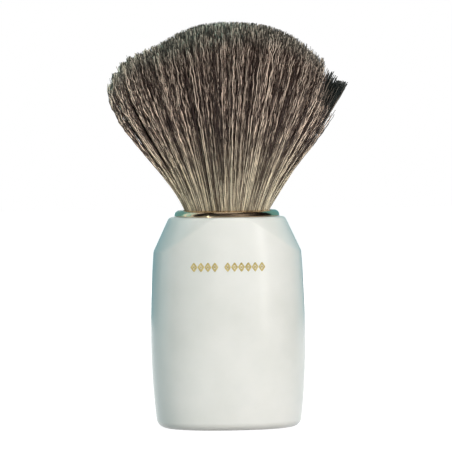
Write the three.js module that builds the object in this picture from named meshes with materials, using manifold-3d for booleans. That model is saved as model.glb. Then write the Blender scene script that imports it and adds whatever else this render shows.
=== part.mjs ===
// A shaving brush: a hollow moulded handle of oval section whose shoulder is turned to a cone, closed by a
// plug under the foot and weighted by a steel slug, a gilt collar round its mouth, and a knot of hair that
// is whipped with thread, potted in a cup and bedded in the handle with epoxy.
// Millimetres, +Z up. The origin is the middle of the foot, and the broad side of the handle faces -Y.

import * as THREE from "three";
import { mergeVertices } from "three/addons/utils/BufferGeometryUtils.js";
import Module from "manifold-3d";

// ---------------------------------------------------------------- driving dimensions

// Knot
const knotDiameter = 21.6; // the hair where it is potted
const hairLoft = 48.8; // collar to the crown of the fan
const fanWidth = 60.6; // across the outermost tips, side to side
const fanDepth = 52; // across them, front to back
const sideDrop = 15.8; // crown down to the outermost tips at the sides
const frontDrop = 5; // crown down to them at the front and back
const hairUnevenness = 1.4; // how much shorter than the crown line a strand may stop
const strandRings = 12; // rings of strands round the middle one
const strandFullness = 0.88; // thickest width, of the space between two rings there
const rootFullness = 0.76; // the same at the root
const bellyShare = 0.72; // how far up a strand is thickest
const rootMargin = 0.5; // from the middle of the outermost strands to the side of the potted hair
const pottedLength = 9.6; // hair held below the mouth of the collar
const threadDiameter = 0.7;
const threadTurns = 3;
const threadGap = 0.5; // between neighbouring turns

// Cup, resin and epoxy that hold the knot
const cupWall = 0.8;
const cupFloor = 1;
const resinHeight = 2;
const epoxyWall = 0.7; // room for the epoxy, joint gaps included

// Collar
const collarHeight = 1.7; // what stands above the handle
const collarLand = 1; // how far it reaches out over the handle beyond the well
const collarRounding = 1.3; // radius of its outer edge
const collarLipRounding = 0.35; // radius of its inner edge
const collarMouthGap = 0.5; // between the potted hair and the lip
const skirtLength = 2; // what stands down inside the well
const skirtWall = 0.9;

// Handle
const handleHeight = 54.5;
const handleWidth = 40; // across the belly, side to side
const bellyHeight = 23.4; // the widest level
const footWidth = 37.1; // the sides' width carried down to the foot
const crownWidth = 36.6; // the sides' width carried up to the top
const frontInset = 0.2; // how far the front and back lie inside the turned cone's mouth
const sectionFullness = 2.35; // 2 is an ellipse, more is squarer
const footRounding = 2;
const neckWall = 2.4; // between the well and the edge of the flat top
const neckRounding = 0.8;
const shoulderAngle = 25; // degrees, the turned cone's side off the axis
const rimWidth = 1.3; // the flat that the brush stands on
const ledgeWidth = 0.8; // the step that stops the plug
const cavityDraft = 0.8; // degrees
const septum = 3; // between the cavity and the well
const ribThickness = 1.6;
const ribAngle = 30; // degrees off the broad way
const ribHook = 2; // how far a rib reaches in over the weight

// Plug and weight
const plugInset = 0.6; // its face above the rim
const plugThickness = 2.3;
const plugDish = 0.5; // hollow in its face
const plugDishMargin = 2.6;
const plugPadHeight = 1; // the bead that the weight stands on
const plugPadWidth = 1.8;
const weightHeight = 13;
const weightChamfer = 0.8;
const weightClearance = 0.6; // round the weight

// Clearances
const glueGap = 0.1; // between two glued or pressed faces
const seatGap = 0.3; // where one piece stops against another

// Facets
const handleSides = 60;
const collarSides = 48;
const innerSides = 32;
const pottedSides = 28;
const threadStepsPerTurn = 20;
const threadSides = 4;

// ---------------------------------------------------------------- sizes that follow from them

const bundleRadius = knotDiameter / 2;
const cupInnerRadius = bundleRadius + seatGap;
const cupRadius = cupInnerRadius + cupWall;
const wellRadius = cupRadius + epoxyWall;
const neckRadius = wellRadius + neckWall;
const shoulderSlope = Math.tan(THREE.MathUtils.degToRad(shoulderAngle));
const flatness = (neckRadius - frontInset) / (crownWidth / 2); // of the oval, depth over width

const collarTop = handleHeight + collarHeight;
const collarMouthRadius = bundleRadius + collarMouthGap;
const skirtBottom = handleHeight - skirtLength;

const pottedTop = collarTop - 2 * collarLipRounding; // the hair's solid root ends just inside the lip
const pottedBottom = pottedTop - pottedLength;
const resinTop = pottedBottom - glueGap;
const resinBottom = resinTop - resinHeight;
const cupFloorTop = resinBottom - glueGap;
const cupBottom = cupFloorTop - cupFloor;
const cupTop = skirtBottom - seatGap;
const wellFloor = cupBottom - epoxyWall;

const footHalfWidth = footWidth / 2 - footRounding - rimWidth; // the opening under the foot
const footHalfDepth = (footWidth / 2) * flatness - footRounding - rimWidth;
const plugTop = plugInset + plugThickness;
const ledgeHeight = plugTop + seatGap;
const cavityTop = wellFloor - septum;
const weightBottom = plugTop + plugPadHeight + glueGap;
const weightTop = weightBottom + weightHeight;
const draftSlope = Math.tan(THREE.MathUtils.degToRad(cavityDraft));
const weightRadius =
  footHalfDepth - ledgeWidth - draftSlope * (weightTop - ledgeHeight) - weightClearance;

// ---------------------------------------------------------------- solids

const wasm = await Module();
wasm.setup();

// A closed geometry as a manifold-3d solid, which can be joined and cut.
function solidOf(geometry) {
  const bare = geometry.index ? geometry.toNonIndexed() : geometry.clone();
  bare.deleteAttribute("normal");
  bare.deleteAttribute("uv");
  const merged = mergeVertices(bare);
  return new wasm.Manifold(
    new wasm.Mesh({
      numProp: 3,
      vertProperties: merged.attributes.position.array,
      triVerts: new Uint32Array(merged.index.array),
    }),
  );
}

// A solid back as a geometry with a flat normal on each face.
function geometryOf(solid) {
  const { vertProperties, triVerts } = solid.getMesh();
  const shared = new THREE.BufferGeometry();
  shared.setAttribute("position", new THREE.BufferAttribute(vertProperties, 3));
  shared.setIndex(new THREE.BufferAttribute(triVerts, 1));
  const flat = shared.toNonIndexed();
  flat.computeVertexNormals();
  return flat;
}

// Points of an arc in a profile, from one angle to another in degrees, both ends included.
function arc(centreRadius, centreHeight, radius, from, to, steps) {
  return Array.from({ length: steps + 1 }, (_, step) => {
    const angle = THREE.MathUtils.degToRad(from + ((to - from) * step) / steps);
    const reach = centreRadius + radius * Math.cos(angle);
    return [reach, centreHeight + radius * Math.sin(angle)];
  });
}

// A profile of [radius, height] points, up the outside and down the inside, revolved about Z.
function revolved(profile, sides) {
  const points = profile.map(([radius, height]) => new THREE.Vector2(radius, height));
  return new THREE.LatheGeometry(points, sides).rotateX(Math.PI / 2);
}

// A ring of material revolved about Z: its profile closes on itself.
function revolvedRing(profile, sides) {
  return revolved([...profile, profile[0]], sides);
}

function middleOf(ring) {
  const sum = ring.reduce((total, point) => total.map((value, axis) => value + point[axis]));
  return sum.map((value) => value / ring.length);
}

// Rings of as many points each, from the bottom one up, skinned and closed with a fan at each end. The
// upper fan meets at the tip.
function lofted(rings, tip = middleOf(rings[rings.length - 1])) {
  const corners = [];
  const face = (...points) => points.forEach((point) => corners.push(...point));
  const around = (ring, use) => ring.forEach((_, i) => use(i, (i + 1) % ring.length));

  rings.slice(1).forEach((upper, level) => {
    const lower = rings[level];
    around(lower, (i, next) => {
      face(lower[i], lower[next], upper[next]);
      face(lower[i], upper[next], upper[i]);
    });
  });
  const [first, last] = [rings[0], rings[rings.length - 1]];
  around(first, (i, next) => face(middleOf(first), first[next], first[i]));
  around(last, (i, next) => face(tip, last[i], last[next]));

  const position = new THREE.Float32BufferAttribute(corners, 3);
  return new THREE.BufferGeometry().setAttribute("position", position);
}

// How far an oval of these half axes reaches from its middle in one direction.
function ovalReach(angle, halfWidth, halfDepth) {
  const across = Math.abs(Math.cos(angle) / halfWidth) ** sectionFullness;
  const through = Math.abs(Math.sin(angle) / halfDepth) ** sectionFullness;
  return (across + through) ** (-1 / sectionFullness);
}

const directions = Array.from({ length: handleSides }, (_, i) => (i / handleSides) * 2 * Math.PI);

function oval(halfWidth, halfDepth, height) {
  return directions.map((angle) => {
    const reach = ovalReach(angle, halfWidth, halfDepth);
    return [reach * Math.cos(angle), reach * Math.sin(angle), height];
  });
}

// ---------------------------------------------------------------- handle

// The sides swell from the foot to the belly and draw in again to the top.
function handleHalfWidth(height) {
  const below = height < bellyHeight;
  const end = below ? footWidth : crownWidth;
  const run = below ? bellyHeight : handleHeight - bellyHeight;
  return handleWidth / 2 - ((handleWidth - end) / 2) * ((height - bellyHeight) / run) ** 2;
}

function bodyReach(angle, height, inset = 0) {
  const halfWidth = handleHalfWidth(height);
  return ovalReach(angle, halfWidth - inset, halfWidth * flatness - inset);
}

// The shoulder is turned to a cone about the axis.
function coneReach(height) {
  return neckRadius + (handleHeight - height) * shoulderSlope;
}

// The height at which the cone takes over from the oval body. It is low at the sides and runs out at the
// top on the front and back, so the cone's edge is an arch there.
function creaseHeight(angle) {
  let below = footRounding;
  let above = handleHeight - 2 * neckRounding;
  if (bodyReach(angle, above) < coneReach(above)) return above;
  for (let halving = 0; halving < 24; halving++) {
    const middle = (below + above) / 2;
    if (bodyReach(angle, middle) < coneReach(middle)) below = middle;
    else above = middle;
  }
  return below;
}

// The moulding's outer form: in every direction the same rows, from the rounded foot up the body to the
// crease, then up the cone to the rounded edge of the flat top.
function handleForm() {
  const footRows = 5;
  const bodyRows = 8;
  const neckRows = 3;
  const pointAt = (angle, height, inset = 0) => {
    const reach = Math.min(bodyReach(angle, height, inset), coneReach(height) - inset);
    return [reach * Math.cos(angle), reach * Math.sin(angle), height];
  };
  const rings = [];
  for (let row = 0; row < footRows; row++) {
    const turn = (row / footRows) * (Math.PI / 2);
    const height = footRounding * (1 - Math.cos(turn));
    const inset = footRounding * (1 - Math.sin(turn));
    rings.push(directions.map((angle) => pointAt(angle, height, inset)));
  }
  for (let row = 0; row <= bodyRows; row++) {
    const rowHeight = (angle) =>
      footRounding + ((creaseHeight(angle) - footRounding) * row) / bodyRows;
    rings.push(directions.map((angle) => pointAt(angle, rowHeight(angle))));
  }
  for (let row = 0; row <= neckRows; row++) {
    const turn = (row / neckRows) * (Math.PI / 2);
    const height = handleHeight - neckRounding * (1 - Math.sin(turn));
    const inset = neckRounding * (1 - Math.cos(turn));
    rings.push(directions.map((angle) => pointAt(angle, height, inset)));
  }
  return solidOf(lofted(rings));
}

// A rib on the wall of the cavity: it stops short of the weight's side, and above the weight it hooks in.
function cavityRib(angle) {
  const reach = handleWidth;
  const hookBottom = weightTop + seatGap;
  const ribBottom = ledgeHeight + seatGap;
  const ribInner = weightRadius + seatGap;
  const slab = (inner, bottom) => {
    const box = new THREE.BoxGeometry(reach, ribThickness, cavityTop + 1 - bottom);
    box.translate(inner + reach / 2, 0, (cavityTop + 1 + bottom) / 2);
    return solidOf(box.rotateZ(angle));
  };
  return slab(ribInner, ribBottom).add(slab(ribInner - ribHook, hookBottom));
}

function cavity() {
  const halfWidth = footHalfWidth - ledgeWidth;
  const halfDepth = footHalfDepth - ledgeWidth;
  const drawn = draftSlope * (cavityTop - ledgeHeight);
  const room = solidOf(
    lofted([
      oval(halfWidth, halfDepth, 0),
      oval(halfWidth, halfDepth, ledgeHeight),
      oval(halfWidth - drawn, halfDepth - drawn, cavityTop),
    ]),
  );
  const ribAngles = [-1, 1].flatMap((side) => [side * ribAngle, 180 + side * ribAngle]);
  return ribAngles
    .map((angle) => cavityRib(THREE.MathUtils.degToRad(angle)))
    .reduce((left, rib) => left.subtract(rib), room);
}

function handleShell() {
  const plugSeat = solidOf(
    lofted([
      oval(footHalfWidth, footHalfDepth, -1),
      oval(footHalfWidth, footHalfDepth, ledgeHeight),
    ]),
  );
  const well = revolved(
    [
      [0, wellFloor],
      [wellRadius, wellFloor],
      [wellRadius, handleHeight + 1],
      [0, handleHeight + 1],
    ],
    collarSides,
  );
  return handleForm()
    .subtract(plugSeat)
    .subtract(cavity())
    .subtract(solidOf(well));
}

// The plug glued under the foot: a plate with a dished face, and a bead on top for the weight.
function basePlug() {
  const [halfWidth, halfDepth] = [footHalfWidth - seatGap, footHalfDepth - seatGap];
  const edge = 0.3;
  const plate = solidOf(
    lofted([
      oval(halfWidth - edge, halfDepth - edge, plugInset),
      oval(halfWidth, halfDepth, plugInset + edge),
      oval(halfWidth, halfDepth, plugTop),
    ]),
  );
  const dish = solidOf(
    lofted([
      oval(halfWidth - plugDishMargin, halfDepth - plugDishMargin, plugInset - 1),
      oval(halfWidth - plugDishMargin, halfDepth - plugDishMargin, plugInset + plugDish),
    ]),
  );
  const beadOuter = weightRadius - weightChamfer;
  const sunk = 0.2;
  const bead = revolvedRing(
    [
      [beadOuter - plugPadWidth, plugTop - sunk],
      [beadOuter, plugTop - sunk],
      [beadOuter, plugTop + plugPadHeight],
      [beadOuter - plugPadWidth, plugTop + plugPadHeight],
    ],
    innerSides,
  );
  return plate.subtract(dish).add(solidOf(bead));
}

function ballastWeight() {
  return revolved(
    [
      [0, weightBottom],
      [weightRadius - weightChamfer, weightBottom],
      [weightRadius, weightBottom + weightChamfer],
      [weightRadius, weightTop - weightChamfer],
      [weightRadius - weightChamfer, weightTop],
      [0, weightTop],
    ],
    innerSides,
  );
}

// ---------------------------------------------------------------- collar

// One turned ring: a skirt that drops into the well, a flange on the handle's top, a rounded outer edge
// and a small lip round the hair.
function collar() {
  const outer = wellRadius + collarLand;
  const skirtOuter = wellRadius - glueGap;
  const seat = handleHeight + glueGap;
  const rounding = Math.min(collarRounding, collarTop - seat - glueGap);
  const foot = 0.2;
  return revolvedRing(
    [
      [skirtOuter - skirtWall, skirtBottom],
      [skirtOuter, skirtBottom],
      [skirtOuter, seat],
      [outer - foot, seat],
      [outer, seat + foot],
      ...arc(outer - rounding, collarTop - rounding, rounding, 0, 90, 5),
      ...arc(
        collarMouthRadius + collarLipRounding,
        collarTop - collarLipRounding,
        collarLipRounding,
        90,
        180,
        3,
      ),
      [collarMouthRadius, handleHeight],
    ],
    collarSides,
  );
}

// ---------------------------------------------------------------- what holds the knot

// The epoxy that beds the cup in the well, floor and wall in one.
function epoxyBed() {
  const outer = wellRadius - glueGap;
  const inner = cupRadius + glueGap;
  return revolved(
    [
      [0, wellFloor + glueGap],
      [outer, wellFloor + glueGap],
      [outer, cupTop],
      [inner, cupTop],
      [inner, cupBottom - glueGap],
      [0, cupBottom - glueGap],
    ],
    innerSides,
  );
}

// The moulded cup that the hair is potted in, with two keying grooves for the epoxy.
function knotCup() {
  const groove = cupWall / 3;
  const height = cupTop - cupBottom;
  const grooves = [0.3, 0.6].flatMap((share) => {
    const middle = cupBottom + share * height;
    return [
      [cupRadius, middle - groove],
      [cupRadius - groove, middle],
      [cupRadius, middle + groove],
    ];
  });
  return revolved(
    [
      [0, cupBottom],
      [cupRadius - groove, cupBottom],
      [cupRadius, cupBottom + groove],
      ...grooves,
      [cupRadius, cupTop],
      [cupInnerRadius, cupTop],
      [cupInnerRadius, cupFloorTop],
      [0, cupFloorTop],
    ],
    innerSides,
  );
}

function resinPlug() {
  const radius = cupInnerRadius - glueGap;
  return revolved(
    [
      [0, resinBottom],
      [radius, resinBottom],
      [radius, resinTop],
      [0, resinTop],
    ],
    innerSides,
  );
}

// ---------------------------------------------------------------- whipping

const waistRadius = bundleRadius - threadDiameter - glueGap; // the potted hair under the thread
const threadPitch = threadDiameter + threadGap;
const waistMargin = 0.4;
const waistBottom = pottedBottom + 1;
const waistTop = waistBottom + threadTurns * threadPitch + threadDiameter + 2 * waistMargin;

// The thread's path. It runs as far out as keeps the chords between its steps off the hair.
class Whipping extends THREE.Curve {
  getPoint(share, target = new THREE.Vector3()) {
    const angle = share * threadTurns * 2 * Math.PI;
    const clear = waistRadius + glueGap + threadDiameter / 2;
    const radius = clear / Math.cos(Math.PI / threadStepsPerTurn);
    const climb = share * threadTurns * threadPitch;
    const height = waistBottom + waistMargin + threadDiameter / 2 + climb;
    return target.set(radius * Math.cos(angle), radius * Math.sin(angle), height);
  }
}

function bindingThread() {
  const path = new Whipping();
  const section = new THREE.Shape(
    Array.from({ length: threadSides }, (_, side) => {
      const angle = (side / threadSides) * 2 * Math.PI;
      return new THREE.Vector2(Math.cos(angle), Math.sin(angle)).multiplyScalar(threadDiameter / 2);
    }),
  );
  const steps = threadTurns * threadStepsPerTurn;
  reportThreadGap(path, steps);
  return new THREE.ExtrudeGeometry(section, { steps, extrudePath: path });
}

// The least distance between points at least half a turn apart, less the thread's own thickness.
function reportThreadGap(path, steps) {
  const points = path.getSpacedPoints(steps);
  const apart = threadStepsPerTurn / 2;
  let least = Infinity;
  for (let i = 0; i < points.length; i++)
    for (let j = i + apart; j < points.length; j++)
      least = Math.min(least, points[i].distanceTo(points[j]) - threadDiameter);
  console.log("least gap between turns of the binding thread:", least.toFixed(2), "mm");
}

// ---------------------------------------------------------------- hair

const rootPitch = (bundleRadius - rootMargin) / strandRings;
const rootSink = 0.5; // how deep a strand is rooted in the potted hair
const ringStagger = 0.61; // radians that each ring is turned past the one inside it
const tipDrift = 0.16; // how far a tip strays sideways, of the space between two strands
const fanHalfWidth = fanWidth / 2;
const fanHalfDepth = fanDepth / 2;
const crown = collarTop + hairLoft;
const domeRadius = (fanHalfWidth ** 2 + sideDrop ** 2) / (2 * sideDrop);
const frontFall = (2 * domeRadius * frontDrop - frontDrop ** 2) / fanHalfDepth ** 2;

// The height of the dome that the tips reach. It falls off less to the front and back than to the sides.
function domeHeight(x, y) {
  return crown - domeRadius + Math.sqrt(domeRadius ** 2 - x ** 2 - frontFall * y ** 2);
}

// A fixed scatter between 0 and 1, so that the fan is the same each time.
function scatter(ring, index, salt) {
  const value = Math.sin(ring * 127.1 + index * 311.7 + salt * 74.7) * 43758.5453;
  return value - Math.floor(value);
}

// How far a hair has swung out from its root to its tip, from 0 at the collar to 1 at the tip. Within the
// fan and at its front and back it runs out straight. At the sides, where curl comes to 1, it leaves at
// more of a slant, opens, and bends back upright.
function swing(along, curl) {
  const slant = 0.75;
  const leaving = along * (1 - along) ** 2;
  const arriving = along ** 2 * (3 - 2 * along);
  return along + (slant * leaving + arriving - along) * curl;
}

// One tapering strand, rooted in the potted hair.
function strand(ring, index, quarterCount) {
  const quarter = Math.floor(index / quarterCount);
  const place = index % quarterCount; // the four quarters of a ring are alike, so the fan stands even
  const turn = ring * ringStagger + (index / (4 * quarterCount)) * 2 * Math.PI;
  const rootX = ring * rootPitch * Math.cos(turn);
  const rootY = ring * rootPitch * Math.sin(turn);
  const drift = (scatter(ring, place, 1) - 0.5) * tipDrift;
  const tipTurn = turn + (drift * 2 * Math.PI) / (4 * quarterCount);
  const shorter = ring ? scatter(ring, place, 2) * hairUnevenness : 0;
  const share = ring / strandRings;
  const tipX = share * fanHalfWidth * Math.cos(tipTurn);
  const tipY = share * fanHalfDepth * Math.sin(tipTurn);
  const tipHeight = domeHeight(tipX, tipY) - shorter;
  const curl = (share * Math.cos(turn)) ** 4;
  const spin = scatter(ring, place, 3) * 2 * Math.PI + (quarter * Math.PI) / 2;

  const at = (along, radius) => {
    const out = swing(along, curl);
    const height = pottedTop + (tipHeight - pottedTop) * along;
    return [0, 1, 2].map((corner) => {
      const around = spin + (corner * 2 * Math.PI) / 3;
      const x = rootX + (tipX - rootX) * out + radius * Math.cos(around);
      return [x, rootY + (tipY - rootY) * out + radius * Math.sin(around), height];
    });
  };
  const tipPitch = Math.min(fanHalfWidth, fanHalfDepth) / strandRings;
  const bellyPitch = rootPitch + (tipPitch - rootPitch) * bellyShare;
  const root = at(0, (rootFullness * rootPitch) / 2);
  const buried = root.map(([x, y, z]) => [x, y, z - rootSink]);
  const belly = at(bellyShare, (strandFullness * bellyPitch) / 2);
  return solidOf(lofted([buried, root, belly], at(1, 0)[0]));
}

function strandRing(ring) {
  if (ring === 0) return [strand(0, 0, 1)];
  const quarterCount = Math.floor((ring * Math.PI) / 2);
  const count = 4 * quarterCount;
  return Array.from({ length: count }, (_, index) => strand(ring, index, quarterCount));
}

// The potted roots of a layer of the hair, between two strand rings. The outermost has the waist that
// the thread is wound on.
function pottedSlice(firstRing, lastRing) {
  const outermost = lastRing === strandRings;
  const gap = seatGap / 2;
  const outer = outermost ? bundleRadius : (lastRing + 0.5) * rootPitch - gap;
  const outside = outermost
    ? [
        [waistRadius, pottedBottom],
        [waistRadius, waistTop],
        [outer, waistTop + (outer - waistRadius)],
        [outer, pottedTop],
      ]
    : [
        [outer, pottedBottom],
        [outer, pottedTop],
      ];
  if (firstRing === 0)
    return revolved([[0, pottedBottom], ...outside, [0, pottedTop]], pottedSides);
  const inner = (firstRing - 0.5) * rootPitch + gap;
  return revolvedRing([...outside, [inner, pottedTop], [inner, pottedBottom]], pottedSides);
}

function hairLayer(firstRing, lastRing) {
  const rings = Array.from({ length: lastRing - firstRing + 1 }, (_, step) => firstRing + step);
  const strands = rings.flatMap(strandRing);
  return wasm.Manifold.union([solidOf(pottedSlice(firstRing, lastRing)), ...strands]);
}

// ---------------------------------------------------------------- materials and assembly

function finish(colour, roughness, metalness = 0) {
  return new THREE.MeshStandardMaterial({ color: colour, roughness, metalness });
}

const finishes = {
  whitePlastic: finish("#e6e5df", 0.3),
  innerPlastic: finish("#cfcdc4", 0.5),
  gilt: finish("#c9a35a", 0.22, 1),
  steel: finish("#8f9296", 0.45, 1),
  epoxy: finish("#c8b98c", 0.35),
  thread: finish("#d8cfb8", 0.9),
  hair: finish("#5f5348", 0.6),
};

const brush = new THREE.Group();
brush.name = "shaving_brush";

function addPiece(name, shape, material) {
  const geometry = shape.isBufferGeometry ? shape : geometryOf(shape);
  const mesh = new THREE.Mesh(geometry, material);
  mesh.name = name;
  brush.add(mesh);
}

addPiece("handle_shell", handleShell(), finishes.whitePlastic);
addPiece("base_plug", basePlug(), finishes.whitePlastic);
addPiece("ballast_weight", ballastWeight(), finishes.steel);
addPiece("epoxy_bed", epoxyBed(), finishes.epoxy);
addPiece("knot_cup", knotCup(), finishes.innerPlastic);
addPiece("collar_ring", collar(), finishes.gilt);
addPiece("resin_plug", resinPlug(), finishes.epoxy);
addPiece("binding_thread", bindingThread(), finishes.thread);

// The hair, from the middle of the knot outwards: the strand ring that each layer ends with.
const layerNames = ["hair_core", "hair_inner_layer", "hair_middle_layer", "hair_outer_layer"];
const layerShares = [0.25, 0.4, 0.7, 1]; // of the rings, counted so that the layers hold like amounts
let nextRing = 0;
layerNames.forEach((name, layer) => {
  const lastRing = Math.round(layerShares[layer] * strandRings);
  addPiece(name, hairLayer(nextRing, lastRing), finishes.hair);
  nextRing = lastRing + 1;
});

export default brush;
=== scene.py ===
import math

import bmesh
import bpy
from mathutils import Euler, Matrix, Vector


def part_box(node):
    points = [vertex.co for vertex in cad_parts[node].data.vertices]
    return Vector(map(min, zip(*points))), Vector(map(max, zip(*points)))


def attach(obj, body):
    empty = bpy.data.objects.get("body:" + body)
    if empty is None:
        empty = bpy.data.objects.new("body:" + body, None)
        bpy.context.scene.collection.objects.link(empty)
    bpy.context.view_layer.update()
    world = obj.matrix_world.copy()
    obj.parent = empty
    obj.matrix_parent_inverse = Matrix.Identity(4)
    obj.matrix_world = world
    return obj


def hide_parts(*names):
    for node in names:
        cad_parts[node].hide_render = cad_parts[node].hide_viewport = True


# A shaving brush: a glossy white barrel handle, a gilt collar and a wide fan of badger hair. Metres, +Z up,
# with the handle's broad front towards -Y.
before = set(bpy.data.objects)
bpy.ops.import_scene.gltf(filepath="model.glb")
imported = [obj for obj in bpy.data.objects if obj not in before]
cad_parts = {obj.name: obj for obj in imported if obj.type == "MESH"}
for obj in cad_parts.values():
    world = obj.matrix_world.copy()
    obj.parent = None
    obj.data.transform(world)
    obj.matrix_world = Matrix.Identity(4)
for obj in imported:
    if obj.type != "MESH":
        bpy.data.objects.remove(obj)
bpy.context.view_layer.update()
scene = bpy.context.scene
MM = 0.001

# ---------------------------------------------------------------- camera
# It looks at the broad front from a little above, through a long lens and a hair off level, as a brush is
# pictured for a catalogue.


def new_object(name, data):
    """An object of the scene that carries the data."""
    made = bpy.data.objects.new(name, data)
    scene.collection.objects.link(made)
    return made


camera_distance = 737 * MM
camera_aim = Vector((-0.26, 0, 52)) * MM
camera_drop = math.radians(1.4)
camera_roll = math.radians(-0.6)
camera_side = math.radians(-4)

camera = new_object("camera", bpy.data.cameras.new("camera"))
camera.data.lens = 226
camera.data.sensor_width = 36
camera.rotation_mode = "QUATERNION"
camera_stand = Euler((math.pi / 2 - camera_drop, 0, camera_side)).to_quaternion()
camera.rotation_quaternion = camera_stand @ Euler((0, 0, camera_roll)).to_quaternion()
camera.location = camera_aim + camera_stand @ Vector((0, 0, camera_distance))
scene.camera = camera
scene.view_settings.view_transform = "Standard"

# ---------------------------------------------------------------- studio
# A white table and backdrop. A large soft lamp stands to the front right, and weaker ones stand to the left,
# above and behind. Narrow spots light the hair, and curved cards give the gloss its blue-green edges.


def add_node(tree, kind, inputs=(), **settings):
    """Adds a node with its settings made. An input gets a value, or a link from a socket, from a Field or
    from a node's first output."""
    node = tree.nodes.new(kind)
    for name, value in settings.items():
        setattr(node, name, value)
    for key, value in dict(inputs).items():
        if isinstance(value, Field):
            value = value.socket
        if isinstance(value, bpy.types.Node):
            value = value.outputs[0]
        if isinstance(value, bpy.types.NodeSocket):
            tree.links.new(value, node.inputs[key])
        else:
            node.inputs[key].default_value = value
    return node


class Field:
    """A number that a node tree works out, so that a rule can be written as arithmetic."""

    def __init__(self, tree, socket):
        self.tree, self.socket = tree, socket

    def math(self, operation, *others):
        return from_node(self.tree, "ShaderNodeMath", enumerate((self, *others)), operation=operation)

    def backwards(self, operation, other):
        return from_node(self.tree, "ShaderNodeMath", {0: other, 1: self}, operation=operation)

    def __add__(self, other):
        return self.math("ADD", other)

    def __radd__(self, other):
        return self.math("ADD", other)

    def __sub__(self, other):
        return self.math("SUBTRACT", other)

    def __rsub__(self, other):
        return self.backwards("SUBTRACT", other)

    def __mul__(self, other):
        return self.math("MULTIPLY", other)

    def __rmul__(self, other):
        return self.math("MULTIPLY", other)

    def __truediv__(self, other):
        return self.math("DIVIDE", other)

    def __rtruediv__(self, other):
        return self.backwards("DIVIDE", other)

    def __pow__(self, other):
        return self.math("POWER", other)


def from_node(tree, kind, inputs=(), output=0, **settings):
    """The number that one output of a new node gives."""
    return Field(tree, add_node(tree, kind, inputs, **settings).outputs[output])


world = bpy.data.worlds.new("studio")
scene.world = world
world.use_nodes = True
world.node_tree.nodes.clear()
backdrop_white = (1, 1, 1, 1)
room_grey = (0.25, 0.345, 0.34, 1)


def backdrop_seen(tree):
    """1 for the rays that show the backdrop: the camera's, and those that a gloss or a glass turns."""
    rays = add_node(tree, "ShaderNodeLightPath")
    seen = Field(tree, rays.outputs["Is Camera Ray"])
    seen = seen.math("MAXIMUM", rays.outputs["Is Glossy Ray"])
    return seen.math("MAXIMUM", rays.outputs["Is Transmission Ray"])


backdrop = add_node(
    world.node_tree,
    "ShaderNodeMix",
    {"Factor": backdrop_seen(world.node_tree), "A": room_grey, "B": backdrop_white},
    data_type="RGBA",
)
light = add_node(world.node_tree, "ShaderNodeBackground", {"Color": backdrop.outputs["Result"]})
add_node(world.node_tree, "ShaderNodeOutputWorld", {"Surface": light})


def add_light(name, kind, place, aim, watts, colour):
    """A light of one kind that faces its aim. Returns its settings."""
    light = new_object(name, bpy.data.lights.new(name, kind))
    light.location = place
    light.rotation_euler = (Vector(aim) - light.location).to_track_quat("-Z", "Y").to_euler()
    light.data.energy = watts
    light.data.color = colour
    return light.data


def add_lamp(name, place, width, height, watts, colour):
    """A rectangular soft lamp that faces the middle of the brush."""
    lamp = add_light(name, "AREA", place, (0, 0, 0.055), watts, colour)
    lamp.shape = "RECTANGLE"
    lamp.size, lamp.size_y = width, height


def add_spot(name, place, aim, degrees, watts, colour):
    """A soft round lamp with a narrow cone, for the hair alone."""
    spot = add_light(name, "SPOT", place, aim, watts, colour)
    spot.spot_size = math.radians(degrees)
    spot.spot_blend = 1
    spot.shadow_soft_size = 0.012


warm, dim_teal, pale_green = (1, 0.94, 0.9), (0.25, 0.75, 0.7), (0.97, 1, 0.93)
add_lamp("key_lamp", (0.3, -0.85, 0.35), 0.9, 0.7, 7.95, warm)
add_lamp("fill_lamp", (-0.5, -0.8, 0.25), 0.5, 0.6, 0.9, (0.8, 1, 0.95))
add_lamp("top_lamp", (0, -0.05, 0.9), 0.6, 0.5, 0.6, (1, 1, 1))
add_lamp("left_rim_lamp", (-0.7, 0.35, 0.1), 0.3, 0.5, 0.25, dim_teal)
add_lamp("right_rim_lamp", (0.7, 0.35, 0.1), 0.3, 0.5, 0.4, dim_teal)
add_lamp("back_lamp", (0, 0.85, 0.35), 0.3, 0.4, 5, (1, 0.84, 0.78))
add_lamp("strip_lamp", (0.5, -0.74, 0.15), 0.14, 0.5, 0.8, (1, 0.95, 0.9))
add_spot("hair_rim_spot", (-0.55, 0.12, 0.2), (-0.03, 0, 0.098), 5.5, 10, (0.42, 0.8, 0.72))
add_spot("hair_side_spot", (-0.5, -0.45, 0.06), (-0.024, 0, 0.081), 5.5, 9, pale_green)
add_spot("left_root_spot", (-0.45, -0.5, 0.03), (-0.016, 0, 0.072), 2.5, 20, pale_green)
add_spot("right_root_spot", (0.45, -0.5, 0.03), (0.016, 0, 0.07), 2.1, 22, (1, 1, 0.93))


def add_screen(name, middle_turn, half_turn, reach, bottom, top, colour):
    """An upright curved card round the brush that glows in one colour. The camera does not see it, and it
    throws no shadow."""
    bends = 24
    corners = []
    for i in range(bends + 1):
        turn = math.radians(middle_turn + half_turn * (2 * i / bends - 1))
        corners += [(reach * math.cos(turn), reach * math.sin(turn), z) for z in (bottom, top)]
    faces = [(2 * i, 2 * i + 1, 2 * i + 3, 2 * i + 2) for i in range(bends)]
    screen = new_object(name, bpy.data.meshes.new(name))
    screen.data.from_pydata(corners, [], faces)
    glowing = bpy.data.materials.new(name)
    glowing.use_nodes = True
    glowing.node_tree.nodes.clear()
    glow = add_node(glowing.node_tree, "ShaderNodeEmission", {"Color": (*colour, 1)})
    add_node(glowing.node_tree, "ShaderNodeOutputMaterial", {"Surface": glow})
    screen.data.materials.append(glowing)
    screen.visible_camera = False
    screen.visible_shadow = False
    return screen


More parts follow.
